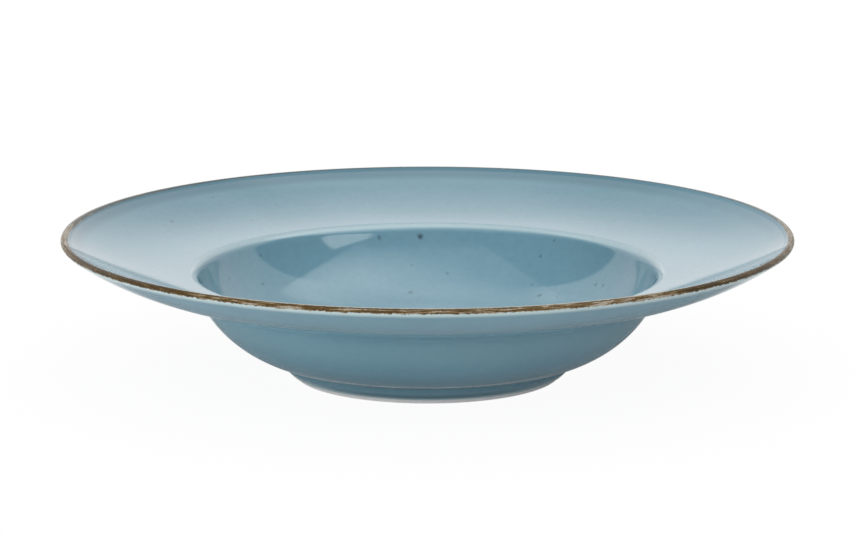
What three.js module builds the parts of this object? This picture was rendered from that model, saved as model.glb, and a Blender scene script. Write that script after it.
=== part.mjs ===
// Deep round pasta plate in glazed porcelain: a wide upswept rim round a deep well, on a low foot ring.
// The body is one moulding. Three coats of blue glaze and a brown edge band lie on it as thin shells.
// Millimetres, +Z up, origin at the centre of the plane that the foot stands on.

import * as THREE from 'three';

// Overall sizes, with the glaze on
const RIM_DIAMETER = 300;
const PLATE_HEIGHT = 59.5;
const LIP_THICKNESS = 3;

// Rim of the body, under the glaze: radii of its two arcs, and its depth where it meets the bowl
const RIM_FACE_CURVE = 113;
const RIM_BACK_CURVE = 111;
const RIM_ROOT_DEPTH = 6;

// Well and bowl wall of the body, under the glaze. The wall thins from the floor to its top
const WELL_DIAMETER = 190;
const WELL_DEPTH = 33.2;
const WELL_CURVE = 45.4;
const WELL_EDGE_ROUND = 3.1;
const WALL_THICKNESS = 4.2;
const WALL_TAPER = 2;
const SHOULDER_ROUND = 1.2;

// Base and foot ring of the body, under the glaze
const BASE_THICKNESS = 5.2;
const FOOT_RECESS = 5.2;
const FOOT_OUTSET = 4.8;
const FOOT_WIDTH = 4;
const FOOT_OUTER_SLOPE = 45;
const FOOT_INNER_SLOPE = 75;
const FOOT_EDGE_ROUND = 0.8;
const FOOT_FILLET = 2;
const RECESS_FILLET = 2;

// Coats: their thickness, their seat on the body, the band's reach over the lip, and the foot's bare strips
const GLAZE = 0.4;
const SEAT_GAP = 0.001;
const BAND_ON_FACE = 0.3;
const BAND_ON_LIP = 2.6;
const BARE_OUTER_STRIP = 3;
const BARE_INNER_STRIP = 1.2;

// Facets: how many round the axis, and how far a chord may leave an arc or turn with it
const FACETS_ROUND = 48;
const CHORD_ERROR = 0.2;
const CHORD_TURN = 32;

const radians = THREE.MathUtils.degToRad;
const UP = Math.PI / 2;
const DOWN = -UP;

// A point of the section: its distance from the axis and its height above the table
function at(radius, height) {
  return new THREE.Vector2(radius, height);
}

function polar(centre, radius, angle) {
  return at(centre.x + radius * Math.cos(angle), centre.y + radius * Math.sin(angle));
}

function bearing(from, to) {
  return Math.atan2(to.y - from.y, to.x - from.x);
}

// Where a circle round a meets a circle round b, on the left of the line from a to b
function circlesMeet(a, radiusA, b, radiusB) {
  const apart = a.distanceTo(b);
  const along = (apart ** 2 + radiusA ** 2 - radiusB ** 2) / (2 * apart);
  const turn = Math.acos(along / radiusA);
  return polar(a, radiusA, bearing(a, b) + turn);
}

// Where a ray meets a circle, at the first crossing
function rayMeetsCircle(start, angle, centre, radius) {
  const reach = start.distanceTo(centre);
  const turn = bearing(start, centre) - angle;
  const nearest = reach * Math.cos(turn);
  const miss = reach * Math.sin(turn);
  return polar(start, nearest - Math.sqrt(radius ** 2 - miss ** 2), angle);
}

// A stretch is a run of surface points with outward normals, walked with the clay on the right
function line(from, to) {
  const along = to.clone().sub(from).normalize();
  const normal = at(-along.y, along.x);
  return [from, to].map((point) => ({ point, normal }));
}

// Walked counterclockwise the surface is hollow and faces the centre; walked clockwise it faces away
function arc(centre, radius, start, end, counterclockwise) {
  const full = 2 * Math.PI;
  const turn = THREE.MathUtils.euclideanModulo(counterclockwise ? end - start : start - end, full);
  const widest = Math.min(2 * Math.acos(1 - CHORD_ERROR / radius), radians(CHORD_TURN));
  const count = Math.ceil(turn / widest);
  const sense = counterclockwise ? 1 : -1;
  const stretch = [];
  for (let i = 0; i <= count; i += 1) {
    const angle = start + sense * turn * (i / count);
    const normal = polar(at(0, 0), -sense, angle);
    stretch.push({ point: polar(centre, radius, angle), normal });
  }
  return stretch;
}

// Stretches end to end, with each shared point once
function join(...stretches) {
  return stretches.reduce((whole, next) => whole.concat(next.slice(1)));
}

function lengthOf(stretch) {
  let total = 0;
  for (let i = 1; i < stretch.length; i += 1) {
    total += stretch[i].point.distanceTo(stretch[i - 1].point);
  }
  return total;
}

// A stretch in two, parted at a distance along it
function split(stretch, distance) {
  let walked = 0;
  for (let i = 1; i < stretch.length; i += 1) {
    const last = stretch[i - 1];
    const next = stretch[i];
    const step = last.point.distanceTo(next.point);
    if (walked + step > distance) {
      const share = (distance - walked) / step;
      const cut = {
        point: last.point.clone().lerp(next.point, share),
        normal: last.normal.clone().lerp(next.normal, share).normalize(),
      };
      return [[...stretch.slice(0, i), cut], [cut, ...stretch.slice(i)]];
    }
    walked += step;
  }
  throw new Error('the stretch is shorter than the cut');
}

// Levels and centres of the body's section
const floorTop = FOOT_RECESS + BASE_THICKNESS;
const wellEdge = at(WELL_DIAMETER / 2, floorTop + WELL_DEPTH);
const floorRadius = wellEdge.x - Math.sqrt(2 * WELL_CURVE * WELL_DEPTH - WELL_DEPTH ** 2);
const wellCentre = at(floorRadius, floorTop + WELL_CURVE);
const bowlCentre = at(wellCentre.x - WALL_TAPER, wellCentre.y);
const bowlCurve = WELL_CURVE + WALL_THICKNESS;

const lipRadius = LIP_THICKNESS / 2 - GLAZE;
const lipCentre = at((RIM_DIAMETER - LIP_THICKNESS) / 2, PLATE_HEIGHT - LIP_THICKNESS / 2);

// The rim's face runs from the well's edge into the lip, its back from the lip to the root on the bowl
const rootDrop = bowlCentre.y - wellEdge.y + RIM_ROOT_DEPTH;
const root = at(bowlCentre.x + Math.sqrt(bowlCurve ** 2 - rootDrop ** 2), bowlCentre.y - rootDrop);
const faceCentre = circlesMeet(wellEdge, RIM_FACE_CURVE, lipCentre, RIM_FACE_CURVE + lipRadius);
const backCentre = circlesMeet(root, RIM_BACK_CURVE, lipCentre, RIM_BACK_CURVE - lipRadius);
const edgeCentre = circlesMeet(
  faceCentre,
  RIM_FACE_CURVE + WELL_EDGE_ROUND,
  wellCentre,
  WELL_CURVE + WELL_EDGE_ROUND,
);
const shoulderCentre = circlesMeet(
  backCentre,
  RIM_BACK_CURVE + SHOULDER_ROUND,
  bowlCentre,
  bowlCurve + SHOULDER_ROUND,
);

// Foot ring: corners where its walls would meet the table, and the rounds and fillets set into them
const outerSlope = radians(FOOT_OUTER_SLOPE);
const innerSlope = Math.PI - radians(FOOT_INNER_SLOPE);
const outerCorner = at(bowlCentre.x + FOOT_OUTSET, 0);
const innerCorner = at(outerCorner.x - FOOT_WIDTH, 0);
const ceilingCorner = polar(innerCorner, FOOT_RECESS / Math.sin(innerSlope), innerSlope);
const outerTrim = FOOT_EDGE_ROUND * Math.tan(outerSlope / 2);
const innerTrim = FOOT_EDGE_ROUND * Math.tan((Math.PI - innerSlope) / 2);
const ceilingTrim = RECESS_FILLET * Math.tan((Math.PI - innerSlope) / 2);
const outerRoundCentre = at(outerCorner.x - outerTrim, FOOT_EDGE_ROUND);
const innerRoundCentre = at(innerCorner.x + innerTrim, FOOT_EDGE_ROUND);
const ceilingFilletCentre = at(ceilingCorner.x - ceilingTrim, FOOT_RECESS - RECESS_FILLET);
const footFilletCentre = rayMeetsCircle(
  polar(outerCorner, FOOT_FILLET, outerSlope + DOWN),
  outerSlope,
  bowlCentre,
  bowlCurve + FOOT_FILLET,
);

// Eating face, from the middle of the floor to the lip
const face = join(
  line(at(0, floorTop), at(floorRadius, floorTop)),
  arc(wellCentre, WELL_CURVE, DOWN, bearing(wellCentre, edgeCentre), true),
  arc(edgeCentre, WELL_EDGE_ROUND, bearing(edgeCentre, wellCentre), bearing(edgeCentre, faceCentre), false),
  arc(faceCentre, RIM_FACE_CURVE, bearing(faceCentre, edgeCentre), bearing(faceCentre, lipCentre), true),
);

// Back, from the lip down to the foot's outer wall
const footWallTop = polar(footFilletCentre, FOOT_FILLET, outerSlope + UP);
const footWallEnd = polar(outerCorner, outerTrim, outerSlope);
const footWall = line(footWallTop, footWallEnd);
const [glazedFootWall, bareFootWall] = split(footWall, lengthOf(footWall) - BARE_OUTER_STRIP);
const back = join(
  arc(lipCentre, lipRadius, bearing(lipCentre, faceCentre), bearing(backCentre, lipCentre), false),
  arc(
    backCentre,
    RIM_BACK_CURVE,
    bearing(backCentre, lipCentre),
    bearing(backCentre, shoulderCentre),
    false,
  ),
  arc(
    shoulderCentre,
    SHOULDER_ROUND,
    bearing(shoulderCentre, backCentre),
    bearing(shoulderCentre, bowlCentre),
    true,
  ),
  arc(
    bowlCentre,
    bowlCurve,
    bearing(bowlCentre, shoulderCentre),
    bearing(bowlCentre, footFilletCentre),
    false,
  ),
  arc(footFilletCentre, FOOT_FILLET, bearing(footFilletCentre, bowlCentre), outerSlope + UP, true),
  glazedFootWall,
);

// Underside, from the foot's bare bearing edge to the middle of the recess
const innerWallStart = polar(innerCorner, innerTrim, innerSlope);
const innerWallTop = polar(ceilingCorner, -ceilingTrim, innerSlope);
const [bareInnerWall, glazedInnerWall] = split(line(innerWallStart, innerWallTop), BARE_INNER_STRIP);
const bareFoot = join(
  bareFootWall,
  arc(outerRoundCentre, FOOT_EDGE_ROUND, outerSlope + DOWN, DOWN, false),
  line(at(outerRoundCentre.x, 0), at(innerRoundCentre.x, 0)),
  arc(innerRoundCentre, FOOT_EDGE_ROUND, DOWN, innerSlope + UP, false),
  bareInnerWall,
);
const recess = join(
  glazedInnerWall,
  arc(ceilingFilletCentre, RECESS_FILLET, innerSlope + DOWN, UP, true),
  line(at(ceilingFilletCentre.x, FOOT_RECESS), at(0, FOOT_RECESS)),
);

// Where one coat ends and the next begins
const [glazedFace, bandFace] = split(face, lengthOf(face) - BAND_ON_FACE);
const [bandLip, glazedBack] = split(back, BAND_ON_LIP);
const bandedLip = join(bandFace, bandLip);

const material = {
  porcelain: new THREE.MeshStandardMaterial({ color: 0xc9c8c6, roughness: 0.65, metalness: 0 }),
  blueGlaze: new THREE.MeshStandardMaterial({ color: 0x7fa6b5, roughness: 0.12, metalness: 0 }),
  brownEdge: new THREE.MeshStandardMaterial({ color: 0x7a6648, roughness: 0.35, metalness: 0 }),
};

// A solid turned from a section outline that is walked with the clay on its right
function turned(outline) {
  const geometry = new THREE.LatheGeometry([...outline].reverse(), FACETS_ROUND);
  geometry.rotateX(UP);
  return geometry;
}

function raised(stretch, height) {
  return stretch.map(({ point, normal }) => point.clone().addScaledVector(normal, height));
}

// The shell between a stretch of the body and the same stretch raised by the glaze
function coat(stretch) {
  const outside = raised(stretch, GLAZE);
  const inside = raised(stretch, SEAT_GAP).reverse();
  const loop = stretch[0].point.x === 0 ? [...outside, ...inside] : [...inside, ...outside];
  const meetsAxis = loop[0].x === 0;
  return turned(meetsAxis ? loop : [...loop, loop[0]]);
}

const plate = new THREE.Group();

function add(name, geometry, finish) {
  const mesh = new THREE.Mesh(geometry, finish);
  mesh.name = name;
  plate.add(mesh);
}

const body = join(glazedFace, bandedLip, glazedBack, bareFoot, recess).map(({ point }) => point);
add('porcelain_body', turned(body), material.porcelain);
add('face_glaze', coat(glazedFace), material.blueGlaze);
add('back_glaze', coat(glazedBack), material.blueGlaze);
add('base_glaze', coat(recess), material.blueGlaze);
add('rim_band', coat(bandedLip), material.brownEdge);

export default plate;
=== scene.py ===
import math

import bmesh
import bpy
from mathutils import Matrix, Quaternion, Vector


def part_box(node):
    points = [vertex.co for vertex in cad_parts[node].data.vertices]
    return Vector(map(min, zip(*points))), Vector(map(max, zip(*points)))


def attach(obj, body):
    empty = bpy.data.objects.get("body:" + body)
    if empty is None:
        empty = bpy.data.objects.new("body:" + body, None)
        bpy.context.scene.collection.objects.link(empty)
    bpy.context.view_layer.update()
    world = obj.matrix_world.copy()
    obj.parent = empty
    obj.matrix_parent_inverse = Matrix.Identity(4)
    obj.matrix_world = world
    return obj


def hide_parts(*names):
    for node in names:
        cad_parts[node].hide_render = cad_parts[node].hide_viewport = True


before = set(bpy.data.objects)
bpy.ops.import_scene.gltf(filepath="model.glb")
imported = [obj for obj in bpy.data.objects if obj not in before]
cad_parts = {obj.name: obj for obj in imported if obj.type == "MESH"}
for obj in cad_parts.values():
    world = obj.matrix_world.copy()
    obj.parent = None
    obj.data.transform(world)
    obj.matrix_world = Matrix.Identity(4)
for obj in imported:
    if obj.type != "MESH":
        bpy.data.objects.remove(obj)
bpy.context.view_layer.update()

# A deep round pasta plate in blue-glazed porcelain with a worn brown edge band, on a low foot ring.
# Metres, +Z up. The section is a chain of straight steps and tangent arcs, turned round the plate's axis.

MM = 0.001

# Overall sizes and levels, from the solids
rim_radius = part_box("rim_band")[1].x
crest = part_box("rim_band")[1].z
floor_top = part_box("face_glaze")[0].z
recess_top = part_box("base_glaze")[1].z

# Rim and lip
LIP_THICKNESS = 3 * MM
RIM_FACE_CURVE = 113 * MM
RIM_BACK_CURVE = 111 * MM
RIM_ROOT_DEPTH = 6 * MM

# Well and bowl wall, which thins from the floor to its top
WELL_RADIUS = 95 * MM
WELL_DEPTH = 33.2 * MM
WELL_CURVE = 45.4 * MM
WELL_EDGE_ROUND = 4.8 * MM
WALL_THICKNESS = 4.2 * MM
WALL_TAPER = 2 * MM
SHOULDER_ROUND = 1.2 * MM

# Foot ring
FOOT_OUTSET = 4.8 * MM
FOOT_WIDTH = 4 * MM
FOOT_OUTER_SLOPE = math.radians(45)
FOOT_INNER_SLOPE = math.radians(105)
FOOT_EDGE_ROUND = 0.8 * MM
FOOT_FILLET = 0.9 * MM
RECESS_FILLET = 2 * MM

# Coats of glaze, and how far the band's ragged fringe runs onto the face and the back
GLAZE = 0.4 * MM
FRINGE_ON_FACE = 2.2 * MM
FRINGE_ON_BACK = 0.9 * MM
BARE_OUTER_STRIP = 3 * MM
BARE_INNER_STRIP = 1.2 * MM

# Fineness of the turned meshes
STEPS_ROUND = 384
CHORD_ERROR = 0.01 * MM
WIDEST_CHORD = math.radians(7.5)
MERGE = 0.001 * MM
SHARP = math.radians(40)

UP = math.pi / 2
DOWN = -UP
FULL_TURN = 2 * math.pi


def polar(centre, radius, angle):
    return centre + radius * Vector((math.cos(angle), math.sin(angle)))


def bearing(start, end):
    return math.atan2(end.y - start.y, end.x - start.x)


def circles_meet(a, radius_a, b, radius_b):
    """Where a circle round a meets a circle round b, on the left of the line from a to b."""
    apart = (b - a).length
    along = (apart**2 + radius_a**2 - radius_b**2) / (2 * apart)
    return polar(a, radius_a, bearing(a, b) + math.acos(along / radius_a))


def ray_meets_circle(start, angle, centre, radius):
    """Where a ray meets a circle, at the first crossing."""
    reach = (centre - start).length
    turn = bearing(start, centre) - angle
    miss = reach * math.sin(turn)
    return polar(start, reach * math.cos(turn) - math.sqrt(radius**2 - miss**2), angle)


def left_turn(centre, start, end):
    return centre, (end - start) % FULL_TURN


def right_turn(centre, start, end):
    return centre, -((start - end) % FULL_TURN)


# Centres of the section's arcs
well_edge = Vector((WELL_RADIUS, floor_top + WELL_DEPTH))
floor_radius = WELL_RADIUS - math.sqrt(2 * WELL_CURVE * WELL_DEPTH - WELL_DEPTH**2)
well_centre = Vector((floor_radius, floor_top + WELL_CURVE))
bowl_centre = well_centre - Vector((WALL_TAPER, 0))
bowl_curve = WELL_CURVE + WALL_THICKNESS
lip_radius = LIP_THICKNESS / 2 - GLAZE
lip_centre = Vector((rim_radius - LIP_THICKNESS / 2, crest - LIP_THICKNESS / 2))
root_drop = bowl_centre.y - well_edge.y + RIM_ROOT_DEPTH
rim_root = Vector((bowl_centre.x + math.sqrt(bowl_curve**2 - root_drop**2), bowl_centre.y - root_drop))
face_centre = circles_meet(well_edge, RIM_FACE_CURVE, lip_centre, RIM_FACE_CURVE + lip_radius)
back_centre = circles_meet(rim_root, RIM_BACK_CURVE, lip_centre, RIM_BACK_CURVE - lip_radius)
edge_centre = circles_meet(
    face_centre, RIM_FACE_CURVE + WELL_EDGE_ROUND, well_centre, WELL_CURVE + WELL_EDGE_ROUND
)
shoulder_centre = circles_meet(
    back_centre, RIM_BACK_CURVE + SHOULDER_ROUND, bowl_centre, bowl_curve + SHOULDER_ROUND
)

# Foot ring: the corners its walls would have, and the rounds and fillets set into them
outer_corner = Vector((bowl_centre.x + FOOT_OUTSET, 0))
inner_corner = outer_corner - Vector((FOOT_WIDTH, 0))
recess_corner = polar(inner_corner, recess_top / math.sin(FOOT_INNER_SLOPE), FOOT_INNER_SLOPE)
outer_trim = FOOT_EDGE_ROUND * math.tan(FOOT_OUTER_SLOPE / 2)
inner_trim = FOOT_EDGE_ROUND * math.tan((math.pi - FOOT_INNER_SLOPE) / 2)
recess_trim = RECESS_FILLET * math.tan((math.pi - FOOT_INNER_SLOPE) / 2)
outer_round = Vector((outer_corner.x - outer_trim, FOOT_EDGE_ROUND))
inner_round = Vector((inner_corner.x + inner_trim, FOOT_EDGE_ROUND))
recess_fillet = Vector((recess_corner.x - recess_trim, recess_top - RECESS_FILLET))
foot_fillet = ray_meets_circle(
    polar(outer_corner, FOOT_FILLET, FOOT_OUTER_SLOPE + DOWN),
    FOOT_OUTER_SLOPE,
    bowl_centre,
    bowl_curve + FOOT_FILLET,
)
foot_wall_top = polar(foot_fillet, FOOT_FILLET, FOOT_OUTER_SLOPE + UP)
foot_wall_end = polar(outer_corner, outer_trim, FOOT_OUTER_SLOPE)
inner_wall_start = polar(inner_corner, inner_trim, FOOT_INNER_SLOPE)
inner_wall_top = polar(recess_corner, -recess_trim, FOOT_INNER_SLOPE)

# Where one coat ends and the next begins
band_face_angle = bearing(face_centre, lip_centre) - FRINGE_ON_FACE / RIM_FACE_CURVE
band_back_angle = bearing(back_centre, lip_centre) - FRINGE_ON_BACK / RIM_BACK_CURVE
outer_glaze_line = polar(foot_wall_end, BARE_OUTER_STRIP, FOOT_OUTER_SLOPE)
inner_glaze_line = polar(inner_wall_start, BARE_INNER_STRIP, FOOT_INNER_SLOPE)

# Runs of the section, with the clay on the right: a vector is a straight step, a pair a centre and a turn
face_run = [
    Vector((floor_radius, 0)),
    left_turn(well_centre, DOWN, bearing(well_centre, edge_centre)),
    right_turn(edge_centre, bearing(edge_centre, well_centre), bearing(edge_centre, face_centre)),
    left_turn(face_centre, bearing(face_centre, edge_centre), band_face_angle),
]
lip_run = [
    left_turn(face_centre, band_face_angle, bearing(face_centre, lip_centre)),
    right_turn(lip_centre, bearing(lip_centre, face_centre), bearing(back_centre, lip_centre)),
    right_turn(back_centre, bearing(back_centre, lip_centre), band_back_angle),
]
back_run = [
    right_turn(back_centre, band_back_angle, bearing(back_centre, shoulder_centre)),
    left_turn(
        shoulder_centre, bearing(shoulder_centre, back_centre), bearing(shoulder_centre, bowl_centre)
    ),
    right_turn(bowl_centre, bearing(bowl_centre, shoulder_centre), bearing(bowl_centre, foot_fillet)),
    left_turn(foot_fillet, bearing(foot_fillet, bowl_centre), FOOT_OUTER_SLOPE + UP),
    outer_glaze_line - foot_wall_top,
]
foot_run = [
    foot_wall_end - outer_glaze_line,
    right_turn(outer_round, FOOT_OUTER_SLOPE + DOWN, DOWN),
    Vector((inner_round.x - outer_round.x, 0)),
    right_turn(inner_round, DOWN, FOOT_INNER_SLOPE + UP),
    inner_glaze_line - inner_wall_start,
]
recess_run = [
    inner_wall_top - inner_glaze_line,
    left_turn(recess_fillet, FOOT_INNER_SLOPE + DOWN, UP),
    Vector((-recess_fillet.x, 0)),
]


def carry(bm, tip, move):
    """Carries the tip of a section on by one move, and gives the new tip."""
    if isinstance(move, Vector):
        grown = bmesh.ops.extrude_vert_indiv(bm, verts=[tip])
        tip = grown["verts"][0]
        tip.co += Vector((move.x, 0, move.y))
        return tip
    centre, turn = move
    radius = (tip.co.xz - centre).length
    chord = min(2 * math.acos(1 - CHORD_ERROR / radius), WIDEST_CHORD)
    grown = bmesh.ops.spin(
        bm,
        geom=[tip],
        cent=(centre.x, 0, centre.y),
        axis=(0, -1, 0),
        angle=turn,
        steps=math.ceil(abs(turn) / chord),
    )
    return next(part for part in grown["geom_last"] if isinstance(part, bmesh.types.BMVert))


def draw(bm, start, moves):
    """A run of the section as a chain of edges. Gives its first and last point."""
    first = bm.verts.new((start.x, 0, start.y))
    tip = first
    for move in moves:
        tip = carry(bm, tip, move)
    return first, tip


def turned(name, *runs):
    """A solid turned from one run that ends on the axis, or from the two sides of a coat."""
    bm = bmesh.new()
    ends = [draw(bm, start, moves) for start, moves in runs]
    if len(ends) == 2:
        for outside, inside in zip(*ends):
            if outside.co.x > MERGE and (outside.co - inside.co).length > MERGE:
                bm.edges.new((outside, inside))
    bmesh.ops.spin(
        bm,
        geom=bm.verts[:] + bm.edges[:],
        cent=(0, 0, 0),
        axis=(0, 0, 1),
        angle=FULL_TURN,
        steps=STEPS_ROUND,
        use_merge=True,
    )
    bmesh.ops.remove_doubles(bm, verts=bm.verts, dist=MERGE)
    bmesh.ops.recalc_face_normals(bm, faces=bm.faces)
    for side in bm.faces:
        side.smooth = True
    for edge in bm.edges:
        edge.smooth = edge.calc_face_angle(0) < SHARP
    mesh = bpy.data.meshes.new(name)
    bm.to_mesh(mesh)
    bm.free()
    piece = bpy.data.objects.new(name, mesh)
    bpy.context.scene.collection.objects.link(piece)
    shading = piece.modifiers.new("even shading", "WEIGHTED_NORMAL")
    shading.keep_sharp = True
    return piece


def make_body():
    whole = face_run + lip_run + back_run + foot_run + recess_run
    return turned("moulded_body", (Vector((0, floor_top)), whole))


def make_face_coat():
    raised = Vector((0, floor_top + GLAZE))
    return turned("face_coat", (raised, face_run), (Vector((0, floor_top)), face_run))


def make_edge_band():
    raised = polar(face_centre, RIM_FACE_CURVE - GLAZE, band_face_angle)
    seat = polar(face_centre, RIM_FACE_CURVE, band_face_angle)
    return turned("edge_band", (raised, lip_run), (seat, lip_run))


def make_back_coat():
    """The coat under the rim and over the bowl, with a rounded edge at the foot's glaze line."""
    raised = polar(back_centre, RIM_BACK_CURVE + GLAZE, band_back_angle)
    seat = polar(back_centre, RIM_BACK_CURVE, band_back_angle)
    rounded = (outer_glaze_line, DOWN)
    toe = polar(Vector((0, 0)), -GLAZE, FOOT_OUTER_SLOPE)
    return turned("back_coat", (raised, back_run + [rounded]), (seat, back_run + [toe]))


def make_base_coat():
    """The coat inside the foot ring, with a rounded edge at its glaze line."""
    heel = polar(Vector((0, 0)), GLAZE, FOOT_INNER_SLOPE)
    start = inner_glaze_line - heel
    rounded = (inner_glaze_line, DOWN)
    return turned("base_coat", (start, [rounded] + recess_run), (start, [heel] + recess_run))


class Value:
    """A number that varies over a surface. Arithmetic on it adds Math nodes."""

    def __init__(self, nodes, socket):
        self.nodes = nodes
        self.socket = socket

    def __add__(self, other):
        return self.nodes.math("ADD", self, other)

    def __radd__(self, other):
        return self.nodes.math("ADD", other, self)

    def __sub__(self, other):
        return self.nodes.math("SUBTRACT", self, other)

    def __rsub__(self, other):
        return self.nodes.math("SUBTRACT", other, self)

    def __mul__(self, other):
        return self.nodes.math("MULTIPLY", self, other)

    def __rmul__(self, other):
        return self.nodes.math("MULTIPLY", other, self)

    def __truediv__(self, other):
        return self.nodes.math("DIVIDE", self, other)

    def __pow__(self, other):
        return self.nodes.math("POWER", self, other)

    def step(self, off, on):
        """0 at off, 1 at on, with a smooth rise between them."""
        return self.nodes.node(
            "ShaderNodeMapRange",
            {"interpolation_type": "SMOOTHSTEP"},
            {"Value": self, "From Min": off, "From Max": on},
        )


class Nodes:
    """A node tree, and the one way that nodes are added to it."""

    def __init__(self, tree):
        self.tree = tree
        tree.nodes.clear()

    def node(self, kind, settings, sockets, output=0):
        made = self.tree.nodes.new(kind)
        for name, value in settings.items():
            if name == "stops":
                self.set_stops(made.color_ramp, value)
            else:
                setattr(made, name, value)
        for name, value in sockets.items():
            if isinstance(value, Value):
                self.tree.links.new(value.socket, made.inputs[name])
            else:
                made.inputs[name].default_value = value
        return Value(self, made.outputs[output]) if made.outputs else None

    def set_stops(self, ramp, stops):
        while len(ramp.elements) < len(stops):
            ramp.elements.new(1)
        for element, (position, colour) in zip(ramp.elements, stops):
            element.position = position
            element.color = (*colour, 1)

    def math(self, operation, *values):
        return self.node("ShaderNodeMath", {"operation": operation}, dict(enumerate(values)))

    def vector_math(self, operation, sockets, output="Vector"):
        return self.node("ShaderNodeVectorMath", {"operation": operation}, sockets, output)

    def mix(self, share, first, second):
        """A colour that goes from the first to the second."""
        colours = {6: self.colour(first), 7: self.colour(second)}
        return self.node("ShaderNodeMix", {"data_type": "RGBA"}, {0: share, **colours}, 2)

    def colour(self, value):
        return value if isinstance(value, Value) else (*value, 1)

    def vector(self, x, y, z):
        return self.node("ShaderNodeCombineXYZ", {}, {0: x, 1: y, 2: z})

    def parts(self, vector):
        return [self.node("ShaderNodeSeparateXYZ", {}, {0: vector}, axis) for axis in range(3)]

    def noise(self, vector, scale, detail=2.0, roughness=0.5, output="Fac"):
        sockets = {"Vector": vector, "Scale": scale, "Detail": detail, "Roughness": roughness}
        return self.node("ShaderNodeTexNoise", {}, sockets, output)


class Finish(Nodes):
    """A material, with the place on the plate that its patterns follow.

    Side goes from -1 at the plate's left to 1 at its right, ahead from -1 in front to 1 behind.
    """

    def __init__(self, name):
        self.material = bpy.data.materials.new(name)
        self.material.use_nodes = True
        super().__init__(self.material.node_tree)
        self.point = self.node("ShaderNodeTexCoord", {}, {}, "Object")
        self.x, self.y, self.z = self.parts(self.point)
        self.radius = (self.x * self.x + self.y * self.y) ** 0.5
        self.side = self.x / self.radius
        self.ahead = self.y / self.radius

    def surface(self, sockets):
        shader = self.node("ShaderNodeBsdfPrincipled", {}, sockets)
        self.node("ShaderNodeOutputMaterial", {}, {"Surface": shader})
        return self.material


# Colours of the glaze, thick and thin
GLAZE_DEEP = (0.125, 0.285, 0.365)
GLAZE_THIN = (0.175, 0.345, 0.430)

# Its colours: over the well's edge and in its thin strips, thin glaze with painted highlight and painted
# light; inside the lip, painted shade; pooled, glaze pooled with painted shade; by the fold and on the
# bowl's swell, painted light
GLAZE_BREAK_AND_HIGHLIGHT = (0.470, 0.620, 0.660)
PALE_GLAZE_AND_PAINTED_LIGHT = (0.520, 0.660, 0.680)
PAINTED_LIP_SHADE = (0.085, 0.210, 0.280)
POOLED_GLAZE_AND_SHADE = (0.065, 0.165, 0.210)
PAINTED_FOLD_LIGHT = (0.280, 0.520, 0.640)
PAINTED_SWELL_LIGHT = (0.290, 0.465, 0.520)

# Colours of the specks, and of the lip's crest under the band, partly worn pale and partly a painted
# highlight
SPECK = (0.030, 0.055, 0.065)
CREST_WEAR_AND_HIGHLIGHT = (0.400, 0.400, 0.340)

# Larger specks under the glaze of the face: distance from the axis, bearing in degrees, width, strength
FACE_SPECKS = [
    (93.0 * MM, 91.9, 2.8 * MM, 0.95),
    (93.0 * MM, 102.9, 2.2 * MM, 0.60),
    (92.4 * MM, 140.0, 1.6 * MM, 0.40),
    (93.6 * MM, 54.6, 1.4 * MM, 0.40),
    (90.4 * MM, 57.7, 1.7 * MM, 0.45),
    (89.9 * MM, 157.2, 1.6 * MM, 0.35),
    (86.4 * MM, 94.6, 1.5 * MM, 0.30),
    (86.0 * MM, 144.1, 2.0 * MM, 0.45),
    (86.0 * MM, 34.2, 1.8 * MM, 0.55),
    (86.3 * MM, 31.0, 1.8 * MM, 0.60),
    (83.8 * MM, 84.1, 1.7 * MM, 0.45),
    (82.0 * MM, 56.9, 1.6 * MM, 0.35),
    (78.0 * MM, 52.4, 2.1 * MM, 0.55),
    (75.7 * MM, 95.5, 2.2 * MM, 0.50),
    (116.4 * MM, 130.5, 1.8 * MM, 0.35),
    (118.2 * MM, 47.3, 1.6 * MM, 0.30),
    (127.3 * MM, 121.2, 1.6 * MM, 0.30),
    (127.3 * MM, 151.0, 1.6 * MM, 0.30),
    (128.5 * MM, 147.9, 2.2 * MM, 0.60),
    (135.3 * MM, 160.1, 1.6 * MM, 0.30),
    (138.2 * MM, 132.3, 1.6 * MM, 0.30),
]


def face_height(radius):
    """Height of the glazed face above the table at a distance from the axis."""
    if radius < floor_radius:
        return floor_top + GLAZE
    centre, curve = well_centre, WELL_CURVE - GLAZE
    if radius > well_edge.x:
        centre, curve = face_centre, RIM_FACE_CURVE - GLAZE
    return centre.y - math.sqrt(curve**2 - (radius - centre.x) ** 2)


def speck_mask(finish):
    """Specks of irregular outline: the larger ones in their places, and fine ones strewn at random."""
    ragged = finish.noise(finish.point, 900, 2.0, 0.6, "Color")
    shift = finish.vector_math("SUBTRACT", {0: ragged, 1: (0.5, 0.5, 0.5)})
    shift = finish.vector_math("SCALE", {0: shift, "Scale": 1.6 * MM})
    point = finish.vector_math("ADD", {0: finish.point, 1: shift})
    cells_per_metre = 85
    strewn = {"Vector": point, "Scale": cells_per_metre}
    gap = finish.node("ShaderNodeTexVoronoi", {}, strewn, "Distance")
    size, chance, depth = finish.parts(finish.node("ShaderNodeTexVoronoi", {}, strewn, "Color"))
    width = (0.25 * MM + 0.75 * MM * size * size) * cells_per_metre
    mask = (gap / width).step(1.0, 0.4) * chance.step(0.3, 0.5) * (0.15 + 0.4 * depth)
    for radius, degrees, wide, strength in FACE_SPECKS:
        angle = math.radians(degrees)
        place = (radius * math.cos(angle), radius * math.sin(angle), face_height(radius))
        away = finish.vector_math("DISTANCE", {0: point, 1: place}, "Value")
        mask = finish.math("MAXIMUM", mask, strength * away.step(0.75 * wide, 0.0))
    return mask


# Surface of the glaze
GLAZE_GLOSS = 0.08
GLAZE_IOR = 1.68

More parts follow.
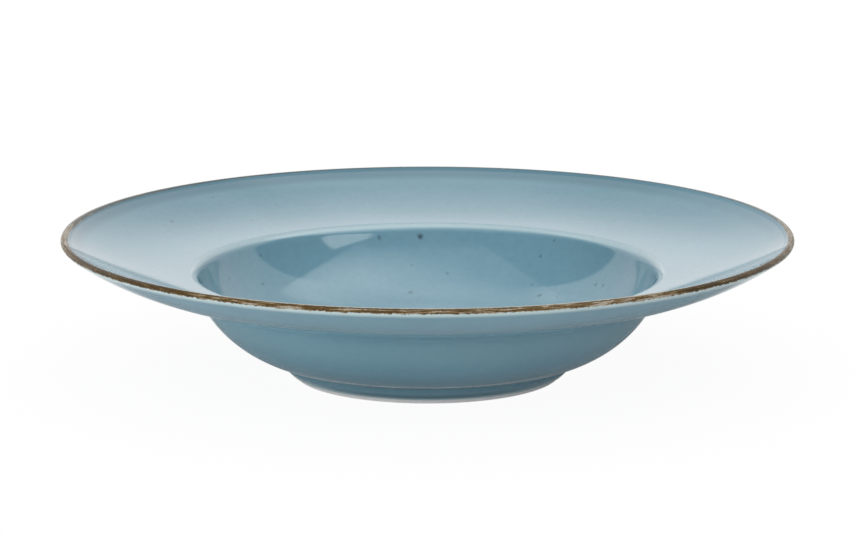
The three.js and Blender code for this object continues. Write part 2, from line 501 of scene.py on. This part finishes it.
# Where the face's colour changes, by thin glaze with a painted highlight over the well's edge and by
# painted shade inside the lip: a pair is where a change begins and where it is full
BREAK_AND_HIGHLIGHT_RING = well_edge.x + 0.9 * MM
BREAK_AND_HIGHLIGHT_WIDTH = (1.8 * MM, 0.5 * MM)
BREAK_AND_HIGHLIGHT_SHARE = 0.72
LIP_SHADE = (139 * MM, 143.5 * MM)
LIP_SHARE = 0.9

# Where the back's colour changes, by thin glaze, painted highlight, painted light and painted shade: below
# the band, by the fold, down the bowl and on the foot
PALE_STRIP = (55.1 * MM, 56.7 * MM)
PALE_SIDES = 0.5 * MM
FOLD_ON_RIM = (10 * MM, 1 * MM)
FOLD_ON_BOWL = (-2.0 * MM, -0.8 * MM)
FOLD_DULL = 2 * MM
CREASE = 0.95 * MM
CREASE_SHARE = 0.3
SWELL_TOP = (36.5 * MM, 30 * MM)
SWELL_BOTTOM = (19 * MM, 27 * MM)
SWELL_SHARE = 0.24
LOW_TOP = 20.5 * MM
LOW_SHARE = 0.62
FOOT_DULL = 2.5 * MM
FOOT_POOL = 3.2 * MM
FOOT_RUN = 0.9 * MM
SIDE_LIGHT_WIDTH = 1.3 * MM
RUN_AND_LIGHT_SHARE = 0.9
DULLNESS = 0.45


def glaze_colour(finish):
    """Blue glaze that lies thicker and thinner in soft clouds."""
    cloud = finish.noise(finish.point, 18, 3.0, 0.5)
    mottle = finish.noise(finish.point, 350, 2.0, 0.5)
    depth = 0.5 + 1.1 * (cloud - 0.5) + 0.5 * (mottle - 0.5)
    return finish.mix(depth.step(0.0, 1.0), GLAZE_DEEP, GLAZE_THIN)


def glazed(finish, colour, roughness=GLAZE_GLOSS, ior=GLAZE_IOR):
    """A glossy surface with the faint unevenness of a fired glaze."""
    height = finish.noise(finish.point, 28, 2.0, 0.4)
    bump = {"Strength": 0.03, "Distance": 1 * MM, "Height": height}
    wave = finish.node("ShaderNodeBump", {}, bump, "Normal")
    return finish.surface({"Base Color": colour, "Roughness": roughness, "IOR": ior, "Normal": wave})


def lip_shade(finish):
    """Painted shade inside the lip, fainter at the plate's right."""
    return LIP_SHARE * finish.radius.step(*LIP_SHADE) * (1 - 0.6 * finish.side.step(0.5, 0.9))


def pale_strip(finish):
    """Pale strip below the band, partly thin glaze and partly a painted highlight, wider at the plate's
    sides than in front.
    """
    height = finish.z + PALE_SIDES * (1 + finish.ahead)
    return height.step(*PALE_STRIP)


def near(finish, centre, reach):
    """1 within reach of an arc's centre, fading to 0 at twice the reach."""
    away = ((finish.radius - centre.x) ** 2 + (finish.z - centre.y) ** 2) ** 0.5
    return away.step(2 * reach, reach)


def bowl_colour(finish):
    """Glaze with painted light on the bowl's swell, painted shade low on the bowl's front, and glaze
    pooled on the foot with painted shade.
    """
    # Painted light on the bowl's swell
    swell = finish.z.step(*SWELL_TOP) * finish.z.step(*SWELL_BOTTOM)
    colour = finish.mix(SWELL_SHARE * swell, glaze_colour(finish), PAINTED_SWELL_LIGHT)
    wall_top = foot_wall_top.y
    # Painted shade low on the bowl's front
    low = finish.z.step(LOW_TOP, wall_top) * finish.z.step(wall_top - GLAZE, wall_top)
    low = low * finish.ahead.step(-0.45, -0.70)
    # Glaze pooled on the foot wall with painted shade, weaker in front
    pool = finish.z.step(outer_glaze_line.y + FOOT_POOL, outer_glaze_line.y + FOOT_RUN)
    pool = pool * (0.9 - 0.7 * finish.ahead.step(-1.0, -0.6))
    return finish.mix(pool + LOW_SHARE * low, colour, POOLED_GLAZE_AND_SHADE)


def fold_colour(finish, colour):
    """The same glaze, with painted light beside the fold under the rim and painted shade deep in its
    crease.
    """
    off_fold = finish.radius - shoulder_centre.x
    fold = off_fold.step(*FOLD_ON_RIM) * off_fold.step(*FOLD_ON_BOWL)
    fold = fold * (0.10 + 0.45 * finish.ahead.step(-1.0, -0.45))
    # Painted light beside the fold, stronger in front
    colour = finish.mix(fold, colour, PAINTED_FOLD_LIGHT)
    # Painted shade deep in the fold's crease
    return finish.mix(CREASE_SHARE * near(finish, shoulder_centre, CREASE), colour, POOLED_GLAZE_AND_SHADE)


def pale_run_and_light(finish):
    """Pale where the coat ends on the foot, partly thin glaze and partly painted light, over a strip that
    widens to the plate's sides and is wider at its left.
    """
    width = FOOT_RUN + SIDE_LIGHT_WIDTH * finish.ahead.step(-1.0, -0.4) * (1 - 0.35 * finish.side)
    return ((finish.z - outer_glaze_line.y + GLAZE) / (width + GLAZE)).step(1.0, 0.0)


def face_glaze():
    """Blue glaze over specks, with a pale ring over the well's edge that is partly thin glaze and partly a
    painted highlight, and painted shade inside the lip.
    """
    finish = Finish("face glaze")
    off_ring = finish.math("ABSOLUTE", finish.radius - BREAK_AND_HIGHLIGHT_RING)
    # Pale ring over the well's edge: partly thin glaze, partly a painted highlight
    colour = finish.mix(BREAK_AND_HIGHLIGHT_SHARE * off_ring.step(*BREAK_AND_HIGHLIGHT_WIDTH), glaze_colour(finish), GLAZE_BREAK_AND_HIGHLIGHT)
    # Painted shade inside the lip
    colour = finish.mix(lip_shade(finish), colour, PAINTED_LIP_SHADE)
    colour = finish.mix(speck_mask(finish), colour, SPECK)
    return glazed(finish, colour)


def back_glaze():
    """Blue glaze that is pale below the band and where it ends on the foot, partly thin glaze and partly
    painted highlight and painted light, with painted light by the fold and on the bowl's swell, painted
    shade in the crease, low on the bowl and on the foot, and duller in its hollows.
    """
    finish = Finish("back glaze")
    colour = fold_colour(finish, bowl_colour(finish))
    # Pale below the band (thin glaze and painted highlight) and where the coat ends on the foot (thin
    # glaze and painted light)
    pale = finish.math("MAXIMUM", pale_strip(finish), RUN_AND_LIGHT_SHARE * pale_run_and_light(finish))
    colour = finish.mix(pale, colour, PALE_GLAZE_AND_PAINTED_LIGHT)
    hollows = near(finish, shoulder_centre, FOLD_DULL) + near(finish, foot_fillet, FOOT_DULL)
    return glazed(finish, colour, GLAZE_GLOSS + DULLNESS * hollows)


def base_glaze():
    finish = Finish("base glaze")
    return glazed(finish, glaze_colour(finish))


# Colours of the edge band, from bare oxide to where it has worn pale
BAND_STOPS = [
    (0.00, (0.040, 0.023, 0.006)),
    (0.25, (0.064, 0.038, 0.009)),
    (0.45, (0.122, 0.072, 0.020)),
    (0.70, (0.215, 0.155, 0.085)),
    (1.00, (0.400, 0.355, 0.290)),
]

# The band round the rim: share of a turn from the left by way of the front, then how worn it is,
# how far it reaches over the lip from outside in half turns, and how thickly it lies
BAND_ROUND = [
    (0.00, (0.90, 0.88, 1.00)),
    (0.03, (0.62, 0.76, 1.00)),
    (0.045, (0.32, 0.68, 1.00)),
    (0.07, (0.18, 0.56, 1.00)),
    (0.13, (0.16, 0.48, 1.00)),
    (0.16, (0.44, 0.41, 1.00)),
    (0.20, (0.50, 0.40, 1.00)),
    (0.23, (0.42, 0.40, 1.00)),
    (0.27, (0.44, 0.40, 1.00)),
    (0.30, (0.60, 0.40, 1.00)),
    (0.35, (0.56, 0.42, 1.00)),
    (0.37, (0.20, 0.46, 1.00)),
    (0.42, (0.22, 0.56, 1.00)),
    (0.46, (0.50, 0.70, 1.00)),
    (0.50, (0.84, 0.80, 1.00)),
    (0.54, (0.50, 0.76, 0.60)),
    (0.62, (0.35, 0.74, 0.35)),
    (0.75, (0.35, 0.74, 0.35)),
    (0.83, (0.30, 0.78, 0.55)),
    (0.91, (0.35, 0.86, 0.62)),
    (0.96, (0.42, 0.92, 0.72)),
    (0.98, (0.60, 0.92, 0.90)),
    (1.00, (0.90, 0.88, 1.00)),
]
BAND_GLOSS = 0.35
BAND_IOR = 1.33

# How often the band's streaks, flecks and chips come along the rim, and how the first two change across it
STREAKS_ALONG = 16
FLECKS_ALONG = 170
CHIPS_ALONG = 90
ACROSS = 2.4
CHIPS_ACROSS = 0.6


def band_ground(finish, across):
    """The glaze of the lip, which shows where the band is thin and beyond its edges, with painted shade
    inside the lip, the pale strip below the band and a crest that is partly worn pale and partly a painted
    highlight.
    """
    outside = across.step(2.0, 1.5)
    # Painted shade inside the lip, on the glaze round the lip
    colour = finish.mix(lip_shade(finish) * (1 - outside), glaze_colour(finish), PAINTED_LIP_SHADE)
    # Pale strip below the band: partly thin glaze, partly a painted highlight
    colour = finish.mix(outside * pale_strip(finish), colour, PALE_GLAZE_AND_PAINTED_LIGHT)
    # Crest of the lip: partly worn pale, partly a painted highlight
    return finish.mix(across.step(0.8, 1.1) * outside, colour, CREST_WEAR_AND_HIGHLIGHT)


def edge_band():
    """Brown oxide brushed round the lip: streaks along it, ragged edges, pale where it has worn."""
    finish = Finish("edge band")
    across = finish.math("ARCTAN2", finish.z - lip_centre.y, finish.radius - lip_centre.x)
    turn = 0.5 + finish.math("ARCTAN2", finish.y, finish.x) / FULL_TURN

    def marks(along, stretch, detail, roughness):
        place = finish.vector(finish.side * along, finish.ahead * along, across * stretch)
        return finish.noise(place, 1, detail, roughness)

    streaks = marks(STREAKS_ALONG, ACROSS, 3.0, 0.6)
    flecks = marks(FLECKS_ALONG, ACROSS, 2.0, 0.5)
    chips = marks(CHIPS_ALONG, CHIPS_ACROSS, 4.0, 0.7)
    brushed = finish.node("ShaderNodeValToRGB", {"stops": BAND_ROUND}, {"Fac": turn})
    worn, reach, cover = finish.parts(brushed)
    lower = -0.38 + 1.4 * (chips - 0.5)
    upper = math.pi * reach + 0.8 * (chips - 0.5)
    laid = cover * (across - lower).step(-0.05, 0.12) * (upper - across).step(-0.05, 0.12)

    broken = worn.step(0.9, 0.6)
    dappled = 0.8 + 0.8 * worn.step(0.35, 0.20)
    wear = worn + (0.12 + 0.9 * worn) * broken * (streaks.step(0.46, 0.60) - 0.25)
    wear = wear + broken * (dappled * (flecks - 0.5) - 0.20 * across.step(0.70, 1.05))
    wear = wear + 0.8 * broken * (across - lower).step(0.40, 0.0) * flecks.step(0.44, 0.58)
    oxide = finish.node("ShaderNodeValToRGB", {"stops": BAND_STOPS}, {"Fac": wear})
    colour = finish.mix(laid, band_ground(finish, across), oxide)
    return glazed(finish, colour, GLAZE_GLOSS + (BAND_GLOSS - GLAZE_GLOSS) * laid, BAND_IOR)


def bare_porcelain():
    """Unglazed foot: pale, matt and finely grained, a little grey from standing on tables."""
    finish = Finish("bare porcelain")
    grain = finish.noise(finish.point, 1800, 3.0, 0.6)
    stain = finish.noise(finish.point, 120, 3.0, 0.6)
    shade = 0.25 + 0.5 * stain + 0.5 * (grain - 0.5)
    colour = finish.mix(shade.step(0.0, 1.0), (0.80, 0.79, 0.80), (0.92, 0.91, 0.91))
    bump = {"Strength": 0.15, "Distance": 0.1 * MM, "Height": grain}
    rough = finish.node("ShaderNodeBump", {}, bump, "Normal")
    return finish.surface({"Base Color": colour, "Roughness": 0.55, "Normal": rough})


def seat(piece, node, slot, material):
    piece.data.materials.append(material)
    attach(piece, "root")
    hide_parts(node)


seat(make_body(), "porcelain_body", "porcelain", bare_porcelain())
seat(make_face_coat(), "face_glaze", "blue_glaze", face_glaze())
seat(make_back_coat(), "back_glaze", "blue_glaze", back_glaze())
seat(make_base_coat(), "base_glaze", "blue_glaze", base_glaze())
seat(make_edge_band(), "rim_band", "brown_edge", edge_band())

# Studio: brightness 1 is white
FLOOR_RADIUS = 9.0
FLOOR_WHITE = (0.86, 0.86, 0.86)
FLOOR_GLOW = 0.10
FLOOR_MIRRORED = 0.12
SHADOW_REACH = (0.08, 0.24)
SHADOW_SHARE = 0.05
MIRROR_NEAR = (0.06, 0.14)
MIRROR_REACH = (0.25, 0.60)
BEHIND = (0.02, 0.10)
BEHIND_MIRRORED = 0.5


def floor():
    """A pale floor that shows the plate's shadow close by and is plain white further out."""
    bm = bmesh.new()
    bmesh.ops.create_circle(bm, cap_ends=True, segments=96, radius=FLOOR_RADIUS)
    mesh = bpy.data.meshes.new("floor")
    bm.to_mesh(mesh)
    bm.free()
    made = bpy.data.objects.new("floor", mesh)
    bpy.context.scene.collection.objects.link(made)
    material = bpy.data.materials.new("floor")
    material.use_nodes = True
    nodes = Nodes(material.node_tree)
    place = nodes.node("ShaderNodeTexCoord", {}, {}, "Object")
    away = nodes.vector_math("LENGTH", {0: place}, "Value")
    camera = nodes.node("ShaderNodeLightPath", {}, {}, "Is Camera Ray")
    glossy = nodes.node("ShaderNodeLightPath", {}, {}, "Is Glossy Ray")
    through = nodes.node("ShaderNodeLightPath", {}, {}, "Is Transmission Ray")
    lit = 1 - SHADOW_SHARE + SHADOW_SHARE * away.step(*SHADOW_REACH)
    seen = nodes.math("MAXIMUM", camera, through) * lit
    bright = FLOOR_MIRRORED * away.step(*MIRROR_NEAR) + (1 - FLOOR_MIRRORED) * away.step(*MIRROR_REACH)
    behind = nodes.parts(place)[1].step(*BEHIND)
    bright = nodes.math("MAXIMUM", bright, BEHIND_MIRRORED * behind)
    white = nodes.math("MAXIMUM", seen, glossy * bright)
    white = nodes.math("MAXIMUM", white, FLOOR_GLOW)
    matt = nodes.node("ShaderNodeBsdfDiffuse", {}, {"Color": nodes.colour(FLOOR_WHITE)})
    plain = nodes.node("ShaderNodeEmission", {}, {"Color": (1, 1, 1, 1), "Strength": 1.0})
    shaded = nodes.node("ShaderNodeMixShader", {}, {0: white, 1: matt, 2: plain})
    clear = nodes.node("ShaderNodeBsdfTransparent", {}, {})
    underneath = nodes.node("ShaderNodeNewGeometry", {}, {}, "Backfacing")
    sided = nodes.node("ShaderNodeMixShader", {}, {0: underneath, 1: shaded, 2: clear})
    nodes.node("ShaderNodeOutputMaterial", {}, {"Surface": sided})
    mesh.materials.append(material)


# The backdrop and the box overhead, by bearing and by how far they lie out for each unit of height
WALLS = 0.27
BACKDROP_SIDES = (0.29, 0.33)
BACKDROP_TOP = (0.93, 0.76)
BOX_LEFT = (-0.71, -0.65)
BOX_RIGHT = (0.93, 0.88)
BOX_FRONT = (-1.20, -0.80)
BOX_BACK = (0.80, 0.56)
BOX_EVEN = 0.50
LAMP_PLACE = (0.43, -0.06)
LAMP_REACH = (0.97, 0.0)
LAMP_BRIGHT = 1.55
GLOW_PLACE = (-0.15, 0.28)
GLOW_REACH = (0.40, 0.1)
GLOW_BRIGHT = 0.45


def surround():
    """What stands round the plate: a backdrop, a box overhead and dim walls.

    The glaze mirrors the backdrop and the box brighter than they light the plate.
    """
    world = bpy.data.worlds.new("surround")
    world.use_nodes = True
    bpy.context.scene.world = world
    nodes = Nodes(world.node_tree)
    x, y, rise = nodes.parts(nodes.node("ShaderNodeTexCoord", {}, {}, "Generated"))
    level = (x * x + y * y) ** 0.5
    side = x / level
    ahead = y / level
    camera = nodes.node("ShaderNodeLightPath", {}, {}, "Is Camera Ray")
    glossy = nodes.node("ShaderNodeLightPath", {}, {}, "Is Glossy Ray")

    backdrop = (ahead + 0.10 * side).step(*BACKDROP_SIDES) * rise.step(*BACKDROP_TOP)
    off_middle = nodes.math("ABSOLUTE", side)
    sweep = 1.04 + 0.28 * rise.step(0.0, 0.5)
    sweep = sweep * (1.12 - 0.36 * off_middle.step(0.0, 0.30) + 0.08 * off_middle.step(0.4, 0.9))
    sweep = sweep * (1 - 0.08 * side.step(-0.2, -0.5) + 0.26 * side.step(-0.5, -0.65))
    mirrored = WALLS + (sweep - WALLS) * backdrop

    height = nodes.math("MAXIMUM", rise, 0.1)
    box_x = x / height
    box_y = y / height

    def spot(place, reach):
        return (((box_x - place[0]) ** 2 + (box_y - place[1]) ** 2) ** 0.5).step(*reach)

    box = box_x.step(*BOX_RIGHT) * box_x.step(*BOX_LEFT)
    box = box * box_y.step(*BOX_FRONT) * box_y.step(*BOX_BACK)
    lamp = LAMP_BRIGHT * spot(LAMP_PLACE, LAMP_REACH)
    glow = GLOW_BRIGHT * spot(GLOW_PLACE, GLOW_REACH)
    mirrored = mirrored + box * (BOX_EVEN + lamp + glow)

    shed = 0.20 + 0.13 * ahead.step(0.24, 0.62) + 0.23 * ahead.step(-0.60, -0.88)
    shed = shed * (1 - 0.40 * side)
    light = shed + (mirrored - shed) * glossy
    light = light + (1 - light) * camera
    sky = nodes.node("ShaderNodeBackground", {}, {"Color": (1, 1, 1, 1), "Strength": light})
    nodes.node("ShaderNodeOutputWorld", {}, {"Surface": sky})


def softbox(name, place, aim, width, depth, brightness, tilt=0, lights=True, mirrored=True):
    """An even light that lights the plate, is mirrored in its glaze, or both. It may stand tilted."""
    lamp = bpy.data.lights.new(name, "AREA")
    lamp.shape = "RECTANGLE"
    lamp.size = width
    lamp.size_y = depth
    lamp.energy = brightness * math.pi * width * depth
    made = bpy.data.objects.new(name, lamp)
    made.location = place
    made.rotation_mode = "QUATERNION"
    facing = (Vector(aim) - Vector(place)).to_track_quat("-Z", "Y")
    made.rotation_quaternion = facing @ Quaternion((0, 0, 1), math.radians(tilt))
    made.visible_camera = False
    made.visible_diffuse = lights
    made.visible_glossy = mirrored
    bpy.context.scene.collection.objects.link(made)


def camera():
    """A long lens a little above the rim."""
    target = Vector((0, 0, 0.030))
    distance = 1.8
    elevation = math.radians(12.152)
    made = bpy.data.objects.new("camera", bpy.data.cameras.new("camera"))
    made.data.sensor_width = 36
    made.data.lens = 184.2
    made.location = target + distance * Vector((0, -math.cos(elevation), math.sin(elevation)))
    aim = Vector((0, 0, 0.04452))
    made.rotation_mode = "QUATERNION"
    made.rotation_quaternion = (aim - made.location).to_track_quat("-Z", "Y")
    bpy.context.scene.collection.objects.link(made)
    bpy.context.scene.camera = made


floor()
surround()
softbox("overhead box", (0, -0.03, 0.80), (0, -0.03, 0), 0.84, 0.95, 1.08, mirrored=False)
softbox("front box", (0, -1.0, 0.63), (0, 0, 0.03), 0.9, 0.8, 2.8, mirrored=False)
softbox("left card", (-0.45, -0.14, 0.045), (0, 0, 0.03), 0.5, 0.07, 4.2, mirrored=False)
softbox(
    "side panel",
    (0.615, -0.559, 0.462),
    (-0.065, -0.095, 0.022),
    0.43,
    0.33,
    2.1,
    tilt=10,
    lights=False,
)
camera()
bpy.context.scene.view_settings.view_transform = "Standard"
